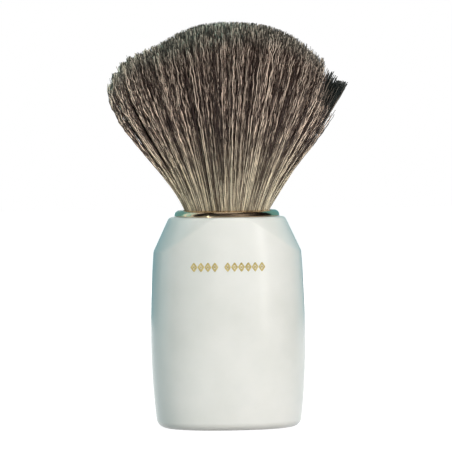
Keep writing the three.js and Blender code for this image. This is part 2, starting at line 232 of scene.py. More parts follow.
add_screen("green_screen", 98, 84, 0.5, -0.01, 0.55, (0.13, 0.36, 0.42))
pale_screen = add_screen("pale_screen", 165, 13, 0.48, -0.01, 0.5, (0.4, 0.75, 0.8))
add_screen("white_strip", 162, 3, 0.45, 0.02, 0.4, (1, 1, 1))
dark_screen = add_screen("dark_screen", -77, 95, 0.2, -0.01, 0.5, (0.004, 0.002, 0.002))
# These two are for the gloss alone.
pale_screen.visible_diffuse = False
dark_screen.visible_diffuse = False

floor_size = 3
floor = new_object("floor", bpy.data.meshes.new("floor"))
floor.data.from_pydata(
    [(x * floor_size, y * floor_size, -0.02 * MM) for x, y in ((-1, -1), (1, -1), (1, 1), (-1, 1))],
    [],
    [(0, 1, 2, 3)],
)
floor_material = bpy.data.materials.new("white_table")
floor_material.use_nodes = True
floor_tree = floor_material.node_tree
floor_tree.nodes.clear()
matt = add_node(floor_tree, "ShaderNodeBsdfDiffuse", {"Color": (0.3, 0.3, 0.3, 1)})
table_glow = backdrop_seen(floor_tree) * 0.955
glow = add_node(floor_tree, "ShaderNodeEmission", {"Color": backdrop_white, "Strength": table_glow})
table = add_node(floor_tree, "ShaderNodeAddShader", {0: matt, 1: glow})
add_node(floor_tree, "ShaderNodeOutputMaterial", {"Surface": table})
floor.data.materials.append(floor_material)

# ---------------------------------------------------------------- handle
# A hollow moulding in opaque white plastic. It is an oval barrel whose shoulder is turned to a cone, so
# that the cone leaves an arched edge on the front and back. It is polished all over.


def finish_piece(piece, slot, material, *nodes):
    """Gives a finished piece its material and its place in the part."""
    piece.data.materials.clear()
    piece.data.materials.append(material)
    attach(piece, "root")
    if nodes:
        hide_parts(*nodes)


def piece_from_nodes(name, tree, values):
    """Runs a node tree on an empty mesh and keeps what it makes as a plain mesh."""
    piece = new_object(name, bpy.data.meshes.new(name))
    modifier = piece.modifiers.new("shape", "NODES")
    modifier.node_group = tree
    sockets = [item for item in tree.interface.items_tree if item.in_out == "INPUT"]
    identifiers = {item.name: item.identifier for item in sockets}
    for key, value in values.items():
        modifier[identifiers[key]] = value
    depsgraph = bpy.context.evaluated_depsgraph_get()
    made = bpy.data.meshes.new_from_object(
        piece.evaluated_get(depsgraph), preserve_all_data_layers=True, depsgraph=depsgraph
    )
    piece.modifiers.clear()
    piece.data = made
    return piece


def new_shape_tree(name, numbers, counts):
    """A geometry tree with named inputs. Returns the tree, its inputs as fields, and the material input."""
    tree = bpy.data.node_groups.new(name, "GeometryNodeTree")
    for key in numbers:
        tree.interface.new_socket(key, in_out="INPUT", socket_type="NodeSocketFloat")
    for key in counts:
        tree.interface.new_socket(key, in_out="INPUT", socket_type="NodeSocketInt")
    tree.interface.new_socket("Material", in_out="INPUT", socket_type="NodeSocketMaterial")
    tree.interface.new_socket("Geometry", in_out="OUTPUT", socket_type="NodeSocketGeometry")
    group = add_node(tree, "NodeGroupInput")
    given = {key: Field(tree, group.outputs[key]) for key in (*numbers, *counts)}
    return tree, given, group.outputs["Material"]


def end_shape_tree(tree, geometry, material):
    """Every tree ends alike: real meshes, one material, smooth faces."""
    real = add_node(tree, "GeometryNodeRealizeInstances", {"Geometry": geometry})
    smooth = add_node(tree, "GeometryNodeSetShadeSmooth", {"Geometry": real})
    painted = add_node(tree, "GeometryNodeSetMaterial", {"Geometry": smooth, "Material": material})
    add_node(tree, "NodeGroupOutput", {"Geometry": painted})


def vector(tree, x=0.0, y=0.0, z=0.0):
    """A vector made of three numbers."""
    return add_node(tree, "ShaderNodeCombineXYZ", {0: x, 1: y, 2: z}).outputs[0]


def parts(tree, whole):
    """The three numbers of a vector."""
    split = add_node(tree, "ShaderNodeSeparateXYZ", {0: whole})
    return [Field(tree, output) for output in split.outputs]


def placed(tree, geometry, x, y, z):
    """A geometry with each point set to its place by rule."""
    position = vector(tree, x, y, z)
    return add_node(tree, "GeometryNodeSetPosition", {"Geometry": geometry, "Position": position})


def new_material(name, finish):
    """A material with one Principled shader. Returns both."""
    material = bpy.data.materials.new(name)
    material.use_nodes = True
    shader = material.node_tree.nodes["Principled BSDF"]
    for key, value in finish.items():
        shader.inputs[key].default_value = value
    return material, shader


def own_place(shader):
    """Where a point lies on the piece."""
    return add_node(shader.id_data, "ShaderNodeTexCoord").outputs["Object"]


def cloud(shader, scale, detail, place=None):
    """A soft irregular pattern, from 0 to 1. It lies on the piece, unless it is given another place."""
    if place is None:
        place = own_place(shader)
    pattern = {"Vector": place, "Scale": scale, "Detail": detail}
    return add_node(shader.id_data, "ShaderNodeTexNoise", pattern).outputs["Fac"]


def colour_at(tree, value, stops):
    """The colour that a number picks from stops, each a value and its colour."""
    ramp = add_node(tree, "ShaderNodeValToRGB", {"Fac": value})
    elements = ramp.color_ramp.elements
    elements[0].position, elements[0].color = stops[0][0], (*stops[0][1], 1)
    elements[1].position, elements[1].color = stops[-1][0], (*stops[-1][1], 1)
    for position, colour in stops[1:-1]:
        elements.new(position).color = (*colour, 1)
    return ramp.outputs[0]


def tint(shader, pattern, *stops):
    """Colours a finish by a pattern. Each stop is a value of the pattern and its colour."""
    tree = shader.id_data
    tree.links.new(colour_at(tree, pattern, stops), shader.inputs["Base Color"])


def emboss(shader, pattern, strength, depth):
    """Gives a finish a fine relief by a pattern."""
    tree = shader.id_data
    relief = add_node(tree, "ShaderNodeBump", {"Height": pattern, "Strength": strength, "Distance": depth})
    tree.links.new(relief.outputs[0], shader.inputs["Normal"])


barrel_low, barrel_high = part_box("handle_shell")
handle_height = barrel_high.z
belly_width = barrel_high.x - barrel_low.x
handle_flatness = (barrel_high.y - barrel_low.y) / belly_width
handle_fullness = 2.35
foot_width = 37.1 * MM
foot_rounding = 2 * MM
barrel_form = {
    "Height": handle_height,
    "Belly Width": belly_width,
    "Belly Height": 23.4 * MM,
    "Foot Width": foot_width,
    "Crown Width": 36.6 * MM,
    "Flatness": handle_flatness,
    "Fullness": handle_fullness,
}
barrel_edges = {
    "Neck Radius": 15 * MM,
    "Shoulder Slope": math.tan(math.radians(25)),
    "Crease Softness": 0.2 * MM,
    "Foot Rounding": foot_rounding,
    "Neck Rounding": 0.8 * MM,
}
barrel_counts = {"Columns": 256, "Rows": 220}


def barrel_half_width(given, height):
    """Half the oval's width at a height: the sides curve in from the belly to both ends."""
    above_belly = height - given["Belly Height"]
    upper = above_belly.math("GREATER_THAN", 0)
    run = given["Belly Height"] + upper * (given["Height"] - 2 * given["Belly Height"])
    end_width = given["Foot Width"] + upper * (given["Crown Width"] - given["Foot Width"])
    swell = (given["Belly Width"] - end_width) / 2
    return given["Belly Width"] / 2 - swell * (above_belly / run) ** 2


barrel_tree, given, barrel_material = new_shape_tree(
    "oval_barrel", {**barrel_form, **barrel_edges}, barrel_counts
)
sheet = add_node(
    barrel_tree,
    "GeometryNodeMeshGrid",
    {"Size X": 1, "Size Y": 1, "Vertices X": given["Columns"] + 1, "Vertices Y": given["Rows"]},
)
across, upwards, _ = parts(barrel_tree, add_node(barrel_tree, "GeometryNodeInputPosition"))
turn = (across + 0.5) * math.tau
# Rows lie closer together at the two ends, where the edges are rounded.
height = given["Height"] * (1 - ((upwards + 0.5) * math.pi).math("COSINE")) / 2
half_width = barrel_half_width(given, height)
foot_reach = (1 - height / given["Foot Rounding"]).math("MAXIMUM", 0)
neck_reach = (1 - (given["Height"] - height) / given["Neck Rounding"]).math("MAXIMUM", 0)
inset = given["Foot Rounding"] * (1 - (1 - foot_reach * foot_reach).math("SQRT"))
inset = inset + given["Neck Rounding"] * (1 - (1 - neck_reach * neck_reach).math("SQRT"))
sideways = (turn.math("COSINE").math("ABSOLUTE") / (half_width - inset)) ** given["Fullness"]
forwards = turn.math("SINE").math("ABSOLUTE") / (half_width * given["Flatness"] - inset)
forwards = forwards ** given["Fullness"]
oval_reach = (sideways + forwards) ** (-1 / given["Fullness"])
cone_reach = given["Neck Radius"] + (given["Height"] - height) * given["Shoulder Slope"] - inset
reach = oval_reach.math("SMOOTH_MIN", cone_reach, given["Crease Softness"])
barrel = placed(barrel_tree, sheet, reach * turn.math("COSINE"), reach * turn.math("SINE"), height)
seam = {"Geometry": barrel, "Distance": 0.001 * MM}
seamless = add_node(barrel_tree, "GeometryNodeMergeByDistance", seam)
end_shape_tree(barrel_tree, seamless, barrel_material)

handle_white, white_gloss = new_material(
    "polished_white_plastic",
    {
        "Roughness": 0.28,
        "Coat Weight": 0.35,
        "Coat Roughness": 0.12,
        "Subsurface Weight": 0.06,
        "Subsurface Radius": (1.2 * MM, 1.1 * MM, 0.9 * MM),
        "Subsurface Scale": 1,
    },
)
clouding = cloud(white_gloss, scale=90, detail=5)
tint(white_gloss, clouding, (0.3, (0.74, 0.728, 0.7)), (0.7, (0.815, 0.793, 0.77)))
emboss(white_gloss, cloud(white_gloss, scale=700, detail=3), strength=0.06, depth=0.02 * MM)

handle = piece_from_nodes(
    "handle", barrel_tree, {**barrel_form, **barrel_edges, **barrel_counts, "Material": handle_white}
)


def circle(radius):
    """The rule for a circle's reach in any direction."""
    return lambda angle: radius


def oval(half_width, half_depth):
    """The rule for how far an oval as full as the barrel reaches from its middle in one direction."""

    def reach(angle):
        across = abs(math.cos(angle) / half_width) ** handle_fullness
        through = abs(math.sin(angle) / half_depth) ** handle_fullness
        return (across + through) ** (-1 / handle_fullness)

    return reach


def add_ring(shape, rule, angles, z):
    """Adds a level ring of corners whose reach follows a rule."""
    reaches = [rule(angle) for angle in angles]
    return [shape.verts.new((r * math.cos(a), r * math.sin(a), z)) for r, a in zip(reaches, angles)]


def continue_from_edge(shape, level, sections):
    """Carries an open edge at one level on through rings, each a rule for its reach and its height, and
    closes the last ring with a cap."""
    edge = {v for e in shape.edges if e.is_boundary for v in e.verts if abs(v.co.z - level) < 1e-6}
    ring = sorted(edge, key=lambda v: math.atan2(v.co.y, v.co.x))
    angles = [math.atan2(v.co.y, v.co.x) for v in ring]
    for rule, z in sections:
        following = add_ring(shape, rule, angles, z)
        for i in range(len(ring)):
            j = (i + 1) % len(ring)
            shape.faces.new((ring[i], ring[j], following[j], following[i]))
        ring = following
    middle = shape.verts.new((0, 0, ring[0].co.z))
    for i in range(len(ring)):
        shape.faces.new((ring[i], ring[(i + 1) % len(ring)], middle))


def keep_shape(piece, shape, sharp_angle=35):
    """Writes an edited shape back with its faces outwards, smooth but for its sharp edges."""
    bmesh.ops.recalc_face_normals(shape, faces=shape.faces)
    shape.to_mesh(piece.data)
    shape.free()
    piece.data.shade_smooth()
    piece.data.set_sharp_from_angle(angle=math.radians(sharp_angle))


joint_gap = 0.1 * MM
well_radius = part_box("epoxy_bed")[1].x + joint_gap
well_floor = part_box("epoxy_bed")[0].z - joint_gap
mouth_chamfer = 0.15 * MM
rim_width = 1.3 * MM
rim_chamfer = 0.2 * MM
ledge_width = 0.8 * MM
ledge_height = 3.2 * MM
hollow_top = well_floor - 3 * MM
hollow_draft = math.tan(math.radians(0.8))
opening_width = foot_width / 2 - foot_rounding - rim_width
opening_depth = foot_width / 2 * handle_flatness - foot_rounding - rim_width
hollow_width = opening_width - ledge_width
hollow_depth = opening_depth - ledge_width
hollow_drawn = hollow_draft * (hollow_top - ledge_height)

handle_shape = bmesh.new()
handle_shape.from_mesh(handle.data)
continue_from_edge(
    handle_shape,
    handle_height,
    [
        (circle(well_radius + mouth_chamfer), handle_height),
        (circle(well_radius), handle_height - mouth_chamfer),
        (circle(well_radius), well_floor),
    ],
)
continue_from_edge(
    handle_shape,
    0,
    [
        (oval(opening_width + rim_chamfer, opening_depth + rim_chamfer), 0),
        (oval(opening_width, opening_depth), rim_chamfer),
        (oval(opening_width, opening_depth), ledge_height),
        (oval(hollow_width, hollow_depth), ledge_height),
        (oval(hollow_width - hollow_drawn, hollow_depth - hollow_drawn), hollow_top),
    ],
)
keep_shape(handle, handle_shape)
finish_piece(handle, "handle_plastic", handle_white, "handle_shell")

# ---------------------------------------------------------------- gold ornament
# Two short rows of lozenges with a dot in each, hot-stamped in gold foil high on the front of the handle. The
# foil is thinner than paper and follows the curve of the plastic.

foil_sizes = {
    "Middle": -0.9 * MM,
    "Level": 41.9 * MM,
    "Lozenge Width": 1.7 * MM,
    "Lozenge Height": 2.4 * MM,
    "Pitch": 1.76 * MM,
    "Group Gap": 1.5 * MM,
    "Stroke": 0.42 * MM,
    "Dot Radius": 0.28 * MM,
    "Foil Thickness": 0.06 * MM,
}
foil_counts = {"Lozenges": 10, "First Group": 4}
foil_tree, given, foil_material = new_shape_tree("foil_ornament", {**barrel_form, **foil_sizes}, foil_counts)
lozenge = add_node(foil_tree, "GeometryNodeCurvePrimitiveCircle", {"Resolution": 4, "Radius": 0.5})
lozenge_size = vector(
    foil_tree, given["Lozenge Width"] - given["Stroke"], given["Lozenge Height"] - given["Stroke"], 1
)
lozenge = add_node(foil_tree, "GeometryNodeTransform", {"Geometry": lozenge, "Scale": lozenge_size})
lozenge = add_node(foil_tree, "GeometryNodeResampleCurve", {"Curve": lozenge, "Count": 24})
lozenge = add_node(foil_tree, "GeometryNodeSetCurveNormal", {"Curve": lozenge}, mode="Z_UP")
stroke = add_node(
    foil_tree,
    "GeometryNodeCurvePrimitiveQuadrilateral",
    {"Width": given["Stroke"], "Height": given["Foil Thickness"]},
)
outline = add_node(foil_tree, "GeometryNodeCurveToMesh", {"Curve": lozenge, "Profile Curve": stroke})
dot = add_node(
    foil_tree,
    "GeometryNodeMeshCylinder",
    {"Vertices": 10, "Radius": given["Dot Radius"], "Depth": given["Foil Thickness"]},
)
motif = add_node(foil_tree, "GeometryNodeJoinGeometry", {0: outline})
foil_tree.links.new(dot.outputs["Mesh"], motif.inputs[0])
index = from_node(foil_tree, "GeometryNodeInputIndex")
later = index.math("GREATER_THAN", given["First Group"] - 0.5)
row_length = (given["Lozenges"] - 1) * given["Pitch"] + given["Group Gap"]
along_row = index * given["Pitch"] + later * given["Group Gap"] - row_length / 2
middles = add_node(foil_tree, "GeometryNodePoints", {"Count": given["Lozenges"]})
middles = placed(foil_tree, middles, along_row, 0, 0)
row = add_node(foil_tree, "GeometryNodeInstanceOnPoints", {"Points": middles, "Instance": motif})
row = add_node(foil_tree, "GeometryNodeRealizeInstances", {"Geometry": row})
across, upwards, proud = parts(foil_tree, add_node(foil_tree, "GeometryNodeInputPosition"))
across = across + given["Middle"]
height = upwards + given["Level"]
half_width = barrel_half_width(given, height)
bow = (1 - (across.math("ABSOLUTE") / half_width) ** given["Fullness"]) ** (1 / given["Fullness"])
stamped = placed(foil_tree, row, across, -1 * (half_width * given["Flatness"] * bow + proud), height)
end_shape_tree(foil_tree, stamped, foil_material)

gold_foil, foil_gloss = new_material("gold_foil", {"Metallic": 0.35, "Roughness": 0.4})
foil_wear = cloud(foil_gloss, scale=1500, detail=4)
tint(foil_gloss, foil_wear, (0.35, (0.58, 0.44, 0.14)), (0.65, (0.74, 0.6, 0.26)))
ornament = piece_from_nodes(
    "gold_ornament_stamped",
    foil_tree,
    {**barrel_form, **foil_sizes, **foil_counts, "Material": gold_foil},
)
finish_piece(ornament, "gilt_collar", gold_foil)

# ---------------------------------------------------------------- ballast weight
# A short bar of turned steel that gives the brush its heft and keeps it upright. It is pressed between the
# ribs of the hollow, under the well.


def lofted(name, sections, columns=160):
    """A closed piece through level sections, each a rule for its reach and a height. A section without a
    rule is a point on the axis. Sections that keep clear of the axis are joined end to end, as a ring is."""
    shape = bmesh.new()
    angles = [math.tau * i / columns for i in range(columns)]
    rings = []
    for rule, z in sections:
        rings.append(add_ring(shape, rule, angles, z) if rule else [shape.verts.new((0, 0, z))])
    if sections[0][0]:
        rings.append(rings[0])
    for low, high in zip(rings, rings[1:]):
        for i in range(columns):
            j = (i + 1) % columns
            corners = [low[i % len(low)], low[j % len(low)], high[j % len(high)], high[i % len(high)]]
            shape.faces.new(dict.fromkeys(corners))
    piece = new_object(name, bpy.data.meshes.new(name))
    keep_shape(piece, shape)
    return piece


def turned(name, profile, columns=160):
    """A closed piece turned about the brush's axis, from the radius and height of each profile point."""
    return lofted(name, [(circle(r) if r else None, z) for r, z in profile], columns)


def chamfered_bar(radius, bottom, top, chamfer):
    """The profile of a bar with both ends chamfered."""
    flank = [(radius - chamfer, bottom), (radius, bottom + chamfer)]
    flank += [(radius, top - chamfer), (radius - chamfer, top)]
    return [(0, bottom), *flank, (0, top)]


def tool_marks(shader, scale, distortion, detail):
    """Fine level lines, as a turning tool and a buff leave."""
    pattern = {"Vector": own_place(shader), "Scale": scale, "Distortion": distortion, "Detail": detail}
    marks = add_node(shader.id_data, "ShaderNodeTexWave", pattern, wave_type="BANDS", bands_direction="Z")
    return marks.outputs["Fac"]


weight_low, weight_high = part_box("ballast_weight")
weight_chamfer = 0.8 * MM
weight_bar = chamfered_bar(weight_high.x, weight_low.z, weight_high.z, weight_chamfer)
ballast_weight = turned("ballast_weight_turned", weight_bar)

turned_steel, steel_gloss = new_material("turned_steel", {"Metallic": 1, "Roughness": 0.34})
steel_lines = tool_marks(steel_gloss, scale=900, distortion=1.5, detail=3)
emboss(steel_gloss, steel_lines, strength=0.4, depth=0.03 * MM)
steel_cloud = cloud(steel_gloss, scale=300, detail=4)
tint(steel_gloss, steel_cloud, (0, (0.38, 0.38, 0.37)), (1, (0.6, 0.6, 0.59)))
finish_piece(ballast_weight, "weight_steel", turned_steel, "ballast_weight")

# ---------------------------------------------------------------- base plug
# An oval lid moulded in the same white plastic. It is glued against the ledge inside the foot, and a bead on
# its upper face bears on the weight. Its underside is finely textured and a little hollow.

plug_low, plug_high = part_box("base_plug")
plug_width, plug_depth = plug_high.x, plug_high.y
plug_bottom = plug_low.z
plug_top = 2.9 * MM
plug_chamfer = 0.25 * MM
dish_margin = 2.6 * MM
dish_width, dish_depth = plug_width - dish_margin, plug_depth - dish_margin
dish_rise = 0.5 * MM
# Shares of the dish's width, and of its rise there.
dish_curve = ((0.5, 0.92), (0.85, 0.4), (1, 0))
bead_share = 0.55
bead_width, bead_depth = plug_width * bead_share, plug_depth * bead_share
bead_thickness = 1.8 * MM

dish_sections = [
    (oval(dish_width * share, dish_depth * share), plug_bottom + dish_rise * rise)
    for share, rise in dish_curve
]
plug_edge = oval(plug_width, plug_depth)
plug_face = oval(plug_width - plug_chamfer, plug_depth - plug_chamfer)
bead_outside = oval(bead_width, bead_depth)
bead_inside = oval(bead_width - bead_thickness, bead_depth - bead_thickness)
base_plug = lofted(
    "base_plug_moulded",
    [
        (None, plug_bottom + dish_rise),
        *dish_sections,
        (plug_face, plug_bottom),
        (plug_edge, plug_bottom + plug_chamfer),
        (plug_edge, plug_top - plug_chamfer),
        (plug_face, plug_top),
        (bead_outside, plug_top),
        (bead_outside, plug_high.z),
        (bead_inside, plug_high.z),
        (bead_inside, plug_top),
        (None, plug_top),
    ],
    columns=192,
)

plug_white, plug_gloss = new_material("textured_white_plastic", {"Roughness": 0.5})
emboss(plug_gloss, cloud(plug_gloss, scale=2600, detail=2), strength=0.5, depth=0.05 * MM)
plug_cloud = cloud(plug_gloss, scale=120, detail=4)
tint(plug_gloss, plug_cloud, (0, (0.66, 0.665, 0.63)), (1, (0.75, 0.75, 0.71)))
finish_piece(base_plug, "handle_plastic", plug_white, "base_plug")

# ---------------------------------------------------------------- knot cup and its bed
# The hair stands in a small cup of natural nylon, with a plug of amber resin under its ends. The cup is set
# in a bed of epoxy that fills the well.

bed_low, bed_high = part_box("epoxy_bed")
cup_low, cup_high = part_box("knot_cup")
resin_low, resin_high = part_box("resin_plug")
bed_bore = cup_high.x + joint_gap
bed_floor = cup_low.z - joint_gap
cup_bore = resin_high.x + joint_gap
cup_floor = resin_low.z - joint_gap
cup_lip = 0.2 * MM

epoxy_bed = turned(
    "epoxy_bed_set",
    [
        (0, bed_low.z),
        (bed_high.x, bed_low.z),
        (bed_high.x, bed_high.z),
        (bed_bore, bed_high.z),
        (bed_bore, bed_floor),
        (0, bed_floor),
    ],
)
knot_cup = turned(
    "knot_cup_moulded",
    [
        (0, cup_low.z),
        (cup_high.x - cup_lip, cup_low.z),
        (cup_high.x, cup_low.z + cup_lip),
        (cup_high.x, cup_high.z - cup_lip),
        (cup_high.x - cup_lip, cup_high.z),
        (cup_bore + cup_lip, cup_high.z),
        (cup_bore, cup_high.z - cup_lip),
        (cup_bore, cup_floor),
        (0, cup_floor),
    ],
)
resin_bar = chamfered_bar(resin_high.x, resin_low.z, resin_high.z, cup_lip)
resin_plug = turned("resin_plug_poured", resin_bar)


def drifting_material(name, roughness, grain, dark, light):
    """A material whose colour and surface drift a little between two values."""
    material, shader = new_material(name, {"Roughness": roughness})
    drift = cloud(shader, scale=grain, detail=5)
    tint(shader, drift, (0.3, dark), (0.7, light))
    emboss(shader, drift, strength=0.2, depth=0.1 * MM)
    return material


set_epoxy = drifting_material("set_epoxy", 0.2, 500, (0.62, 0.5, 0.3), (0.74, 0.64, 0.44))
natural_nylon = drifting_material("natural_nylon", 0.4, 200, (0.7, 0.68, 0.6), (0.78, 0.76, 0.69))
amber_resin = drifting_material("amber_resin", 0.15, 350, (0.2, 0.08, 0.02), (0.34, 0.15, 0.04))
finish_piece(epoxy_bed, "epoxy", set_epoxy, "epoxy_bed")
finish_piece(knot_cup, "cup_plastic", natural_nylon, "knot_cup")
finish_piece(resin_plug, "epoxy", amber_resin, "resin_plug")

# ---------------------------------------------------------------- potted roots and binding thread
# The butt of the knot: some thousands of hairs set hard in amber resin. Three turns of waxed two-ply cotton
# lie in its waist and pull it together.

collar_low, collar_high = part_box("collar_ring")
thread_low, thread_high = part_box("binding_thread")
thread_radius = 0.35 * MM
potted_bottom = resin_high.z + joint_gap
potted_depth = 0.9 * MM
potted_top = collar_high.z - potted_depth
potted_radius = 10.8 * MM
waist_margin = 0.3 * MM
waist_radius = thread_high.x - 2 * thread_radius - joint_gap
waist_top = thread_high.z + waist_margin
waist_slope = potted_radius - waist_radius

potted_roots = turned(
    "hair_roots_potted",
    [
        (0, potted_bottom),
        (waist_radius, potted_bottom),
        (waist_radius, waist_top),
        (potted_radius, waist_top + waist_slope),
        (potted_radius, potted_top),
        (0, potted_top),
    ],
)
potted_hair, potted_gloss = new_material("potted_hair", {"Roughness": 0.35})
streaks_across, streaks_along = 4000, 120
streaked_place = add_node(
    potted_gloss.id_data,
    "ShaderNodeMapping",
    {"Vector": own_place(potted_gloss), "Scale": (streaks_across, streaks_across, streaks_along)},
)
streaks = cloud(potted_gloss, scale=1, detail=3, place=streaked_place)
tint(potted_gloss, streaks, (0.35, (0.07, 0.035, 0.015)), (0.7, (0.42, 0.27, 0.13)))
finish_piece(potted_roots, "hair", potted_hair)

thread_sizes = {
    "Path Radius": thread_high.x - thread_radius,
    "Bottom": thread_low.z + thread_radius,
    "Rise": thread_high.z - thread_low.z - 2 * thread_radius,
    "Turns": 3,
    "Ply Radius": 0.17 * MM,
    "Twist": 30,
}
thread_counts = {"Steps": 600, "Sides": 8}
thread_tree, given, thread_material = new_shape_tree("wound_thread", thread_sizes, thread_counts)
strand = add_node(thread_tree, "GeometryNodeCurvePrimitiveLine")
strand = add_node(thread_tree, "GeometryNodeResampleCurve", {"Curve": strand, "Count": given["Steps"]})
two_plies = {"Geometry": strand, "Amount": 2}
plies = add_node(thread_tree, "GeometryNodeDuplicateElements", two_plies, domain="SPLINE")
ply = Field(thread_tree, plies.outputs[1])
along = from_node(thread_tree, "GeometryNodeSplineParameter", output="Factor")
turn = along * given["Turns"] * math.tau
twist = along * given["Turns"] * given["Twist"] * math.tau + ply * math.pi
ply_reach = given["Path Radius"] + given["Ply Radius"] * twist.math("COSINE")
ply_x = ply_reach * turn.math("COSINE")
ply_y = ply_reach * turn.math("SINE")
ply_z = given["Bottom"] + given["Rise"] * along + given["Ply Radius"] * twist.math("SINE")
wound = placed(thread_tree, plies, ply_x, ply_y, ply_z)
ply_section = add_node(
    thread_tree,
    "GeometryNodeCurvePrimitiveCircle",
    {"Resolution": given["Sides"], "Radius": given["Ply Radius"]},
)
ply_mesh = add_node(
    thread_tree,
    "GeometryNodeCurveToMesh",
    {"Curve": wound, "Profile Curve": ply_section, "Fill Caps": True},
)
end_shape_tree(thread_tree, ply_mesh, thread_material)

waxed_cotton = drifting_material("waxed_cotton", 0.6, 3000, (0.5, 0.44, 0.32), (0.68, 0.62, 0.5))
binding_thread = piece_from_nodes(
    "binding_thread_wound", thread_tree, {**thread_sizes, **thread_counts, "Material": waxed_cotton}
)
finish_piece(binding_thread, "thread", waxed_cotton, "binding_thread")

# ---------------------------------------------------------------- hair
# Grey badger hair, cast to a fan and not trimmed: dull tan at the ring, dark brown along the middle and grey
# at the fine tips. Each hair is a tapering three-sided tube. Tips lie together in small locks.

fan_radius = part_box("hair_outer_layer")[1].x
fan_depth = 26 * MM
fan_drop = 15.8 * MM
front_drop = 4 * MM
dome_radius = (fan_radius ** 2 + fan_drop ** 2) / (2 * fan_drop)
# Where the dome stands high or low along its width, by how much, and over what breadth.
fan_swells = (
    (-26 * MM, 1 * MM, 3 * MM),
    (-17 * MM, -1.1 * MM, 6 * MM),
    (13 * MM, 0.6 * MM, 7 * MM),
)
# Pulls are shares of the way to the middle of a lock or a tuft. Reach, start, steps and crop are shares of a
# hair's length or of the fan's width.
hair_sizes = {
    "Mouth Radius": 11.0 * MM,
    "Mouth Height": collar_high.z,
    "Fan Radius": fan_radius,
    "Fan Depth": fan_depth,
    "Crown Height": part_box("hair_core")[1].z,
    "Dome Radius": dome_radius,
    "Front Fall": (2 * dome_radius * front_drop - front_drop ** 2) / fan_depth ** 2,
    "Splay Reach": 0.055,
    "Root Start": -0.04,
    "Lock Count": 80.0,
    "Lock Pull": 0.6,
    "Lock Step": 0.03,
    "Strand Count": 220.0,
    "Tuft Count": 11.0,
    "Tuft Pull": 0.06,
    "Tuft Step": 0.045,
    "Tip Step": 0.06,
    "Tip Scatter": 0.045,
    "Stair": 2 * MM,
    "Splay Height": 89.7 * MM,
    "Point Rise": 2.4 * MM,
    "Crop": 0.24,
    "Wave": 0.95 * MM,
    "Root Thickness": 0.17 * MM,
    "Hair Thickness": 0.25 * MM,
    "Tip Thickness": 0.16 * MM,
}
hair_tree, given, hair_material = new_shape_tree(
    "hair_fan", ("Inner Share", "Outer Share", *hair_sizes), ("Hairs", "Steps", "Seed")
)


def smooth(value, start, end):
    """Climbs smoothly from 0 at the start to 1 at the end."""
    climb = {"Value": value, "From Min": start, "From Max": end}
    return from_node(hair_tree, "ShaderNodeMapRange", climb, interpolation_type="SMOOTHSTEP")


def chance(draw):
    """A number between 0 and 1 for each hair. Every draw gives other numbers."""
    drawn = {"ID": number, "Seed": given["Seed"] + draw}
    return from_node(hair_tree, "FunctionNodeRandomValue", drawn, output=1, data_type="FLOAT")


def gathered(x, y, count):
    """The cell that a point of the unit disc falls in: its centre and a number of its own."""
    cell = add_node(
        hair_tree,
        "ShaderNodeTexVoronoi",
        {"Vector": vector(hair_tree, x * count, y * count), "Scale": 1, "Randomness": 0.9},
        voronoi_dimensions="2D",
    )
    centre_x, centre_y, _ = parts(hair_tree, cell.outputs["Position"])
    own_number = parts(hair_tree, cell.outputs["Color"])[0]
    return centre_x / count, centre_y / count, own_number


one_hair = add_node(hair_tree, "GeometryNodeCurvePrimitiveLine")
one_hair = add_node(hair_tree, "GeometryNodeResampleCurve", {"Curve": one_hair, "Count": given["Steps"]})
all_hairs = {"Geometry": one_hair, "Amount": given["Hairs"]}
hairs = add_node(hair_tree, "GeometryNodeDuplicateElements", all_hairs, domain="SPLINE")
number = Field(hair_tree, hairs.outputs[1])
factor = from_node(hair_tree, "GeometryNodeSplineParameter", output="Factor")

# Roots fill their part of the mouth evenly, each turned on from the last by about the golden angle.
golden_turn = math.pi * (3 - math.sqrt(5))
turn_jitter = 0.6
inner_area = given["Inner Share"] ** 2
ring_area = given["Outer Share"] ** 2 - inner_area
root_share = (inner_area + ring_area * (number + chance(1)) / given["Hairs"]).math("SQRT")
root_turn = number * golden_turn + chance(2) * turn_jitter
root_x = root_share * root_turn.math("COSINE")
root_y = root_share * root_turn.math("SINE")
root_aside = root_x.math("ABSOLUTE")

# Round the mouth the hairs stand in strands, and painted shade darkens the gaps between them, fainter at the
# two sides where the outer hairs catch the light. Here and below, places among the roots are shares of the
# mouth's radius.
side_fading = 0.75
strand_cell = add_node(
    hair_tree,
    "ShaderNodeTexVoronoi",
    {"W": (root_turn / (2 * math.pi)).math("FRACT") * given["Strand Count"], "Scale": 1, "Randomness": 0.7},
    voronoi_dimensions="1D",
    feature="DISTANCE_TO_EDGE",
)
strand_gap_shade = 1 - smooth(strand_cell.outputs["Distance"], 0.03, 0.2)
strand_gap_shade = strand_gap_shade * (1 - smooth(root_aside, 0.6, 0.9) * side_fading)

# Tips draw together into locks, and the locks into tufts. A few hairs stray across their neighbours, and
# fewer do at the two sides.
lock_x, lock_y, lock_number = gathered(root_x, root_y, given["Lock Count"])
tuft_x, tuft_y, tuft_number = gathered(lock_x, lock_y, given["Tuft Count"])
tip_x = root_x + (lock_x - root_x) * given["Lock Pull"] + (tuft_x - lock_x) * given["Tuft Pull"]
tip_y = root_y + (lock_y - root_y) * given["Lock Pull"] + (tuft_y - lock_y) * given["Tuft Pull"]
farthest_stray, side_calm = 3, 0.65
straying = given["Tip Scatter"] * (1 + farthest_stray * chance(8) ** 2)
straying = straying * (1 - side_calm * smooth(root_aside, 0.75, 0.85))
tip_x = tip_x + (chance(3) - 0.5) * straying
tip_y = tip_y + (chance(4) - 0.5) * straying

